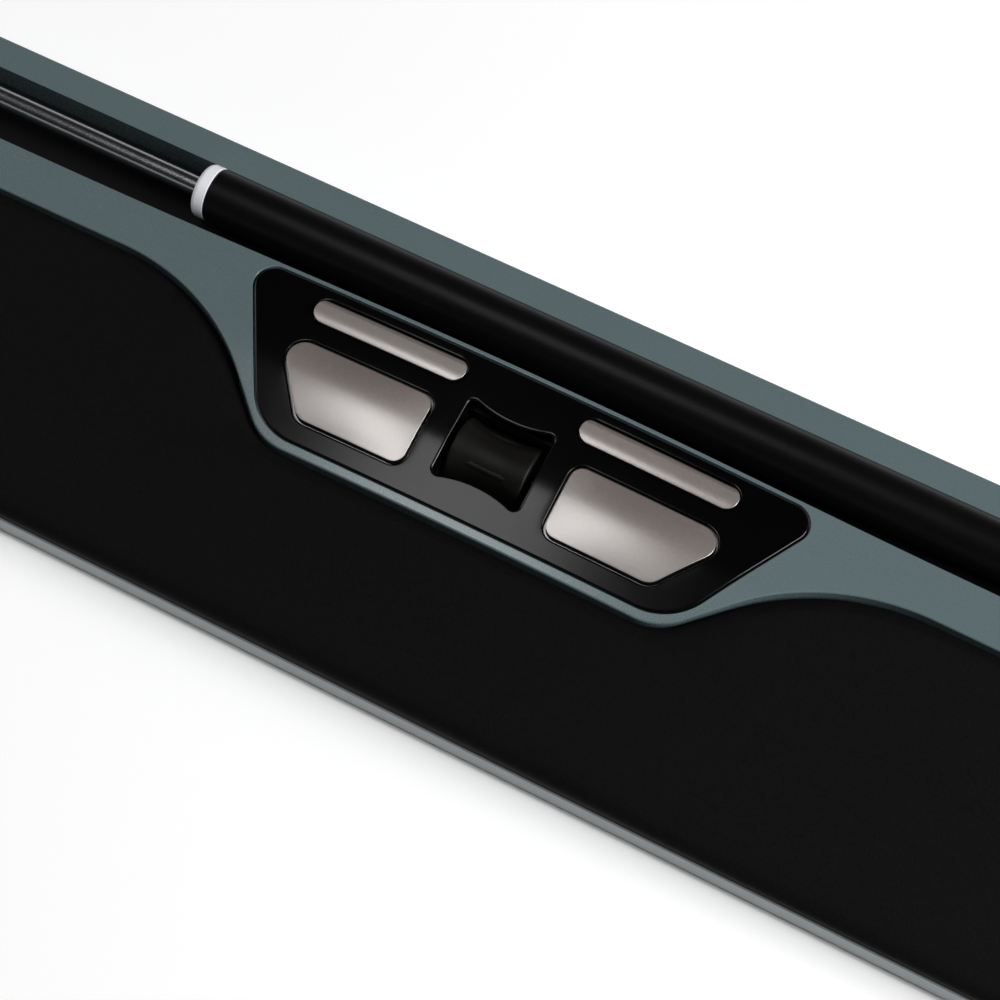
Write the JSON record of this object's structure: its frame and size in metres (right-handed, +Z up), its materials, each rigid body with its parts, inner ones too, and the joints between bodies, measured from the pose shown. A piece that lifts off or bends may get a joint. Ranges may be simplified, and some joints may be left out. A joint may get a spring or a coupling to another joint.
{
  "type": "roller bar mouse",
  "caption": "Long low desk pointing device with a padded wrist rest, a sliding and turning roller bar behind it, silver buttons and a wide scroll wheel on a black panel.",
  "frame": {"origin": "on the desk, below the middle of the body", "axes": "+X along the roller bar to the user's right, -Y towards the user, +Z up"},
  "size_m": [0.48, 0.1144, 0.021],
  "materials": {
    "housing_grey": "fine matte texture",
    "panel_black": "polished",
    "button_silver": "satin silver paint",
    "pad_black": "soft and matte",
    "wheel_black": "satin gloss",
    "roller_black": "fine matte texture",
    "ring_grey": "satin",
    "inner_black": "matte",
    "board_green": "satin",
    "steel": "ground",
    "rubber": "matte",
    "window_dark": "polished and dark"
  },
  "bodies": {
    "housing": {"lower_housing": "housing_grey", "upper_housing": "housing_grey", "groove_floor": "inner_black", "wrist_rest_board": "inner_black", "wrist_rest_pad": "pad_black", "control_panel": "panel_black", "circuit_board": "board_green", "left_click_switch": "inner_black", "right_click_switch": "inner_black", "left_bar_switch": "inner_black", "right_bar_switch": "inner_black", "wheel_switch": "inner_black", "controller_chip": "inner_black", "motion_sensor": "inner_black", "sensor_window": "window_dark", "left_rail_cap": "inner_black", "right_rail_cap": "inner_black", "left_roller_switch": "inner_black", "right_roller_switch": "inner_black", "cable_socket": "steel", "front_left_foot": "rubber", "front_middle_foot": "rubber", "front_right_foot": "rubber", "rear_left_foot": "rubber", "rear_middle_foot": "rubber", "rear_right_foot": "rubber", "base_screw_1": "steel", "base_screw_2": "steel", "base_screw_3": "steel", "base_screw_4": "steel", "base_screw_5": "steel", "base_screw_6": "steel", "board_screw_1": "steel", "board_screw_2": "steel", "board_screw_3": "steel", "board_screw_4": "steel"},
    "left_click": {"left_click_button": "button_silver"},
    "right_click": {"right_click_button": "button_silver"},
    "left_bar": {"left_bar_button": "button_silver"},
    "right_bar": {"right_bar_button": "button_silver"},
    "wheel_mount": {"wheel_carriage": "inner_black", "wheel_encoder": "board_green"},
    "wheel": {"scroll_wheel": "wheel_black", "wheel_axle": "steel"},
    "rail": {"roller_rail": "steel", "left_rail_holder": "inner_black", "right_rail_holder": "inner_black", "left_rail_bumper": "rubber", "right_rail_bumper": "rubber"},
    "glide": {"roller_glide": "inner_black"},
    "roller": {"roller_sleeve": "roller_black", "left_roller_ring": "ring_grey", "right_roller_ring": "ring_grey"}
  },
  "joints": [
    {"name": "left_click_press", "type": "slide", "parent": "housing", "child": "left_click", "axis": [0, 0, -1], "range_m": [0, 0.0006], "stiffness_N_per_m": 800, "springref_m": -0.0005},
    {"name": "right_click_press", "type": "slide", "parent": "housing", "child": "right_click", "axis": [0, 0, -1], "range_m": [0, 0.0006], "stiffness_N_per_m": 800, "springref_m": -0.0005},
    {"name": "left_bar_press", "type": "slide", "parent": "housing", "child": "left_bar", "axis": [0, 0, -1], "range_m": [0, 0.0006], "stiffness_N_per_m": 800, "springref_m": -0.0005},
    {"name": "right_bar_press", "type": "slide", "parent": "housing", "child": "right_bar", "axis": [0, 0, -1], "range_m": [0, 0.0006], "stiffness_N_per_m": 800, "springref_m": -0.0005},
    {"name": "wheel_press", "type": "slide", "parent": "housing", "child": "wheel_mount", "axis": [0, 0, -1], "range_m": [0, 0.0006], "stiffness_N_per_m": 1500, "springref_m": -0.0005},
    {"name": "wheel_spin", "type": "hinge", "parent": "wheel_mount", "child": "wheel", "pos_m": [0, 0.00745, 0.0126], "axis": [1, 0, 0], "continuous": true},
    {"name": "roller_press", "type": "slide", "parent": "housing", "child": "rail", "axis": [0, 0, -1], "range_m": [0, 0.0006], "stiffness_N_per_m": 3000, "springref_m": -0.0008},
    {"name": "roller_slide", "type": "slide", "parent": "rail", "child": "glide", "axis": [1, 0, 0], "range_m": [-0.093, 0.02]},
    {"name": "roller_spin", "type": "hinge", "parent": "glide", "child": "roller", "pos_m": [0, 0.0411, 0.014], "axis": [1, 0, 0], "continuous": true}
  ]
}
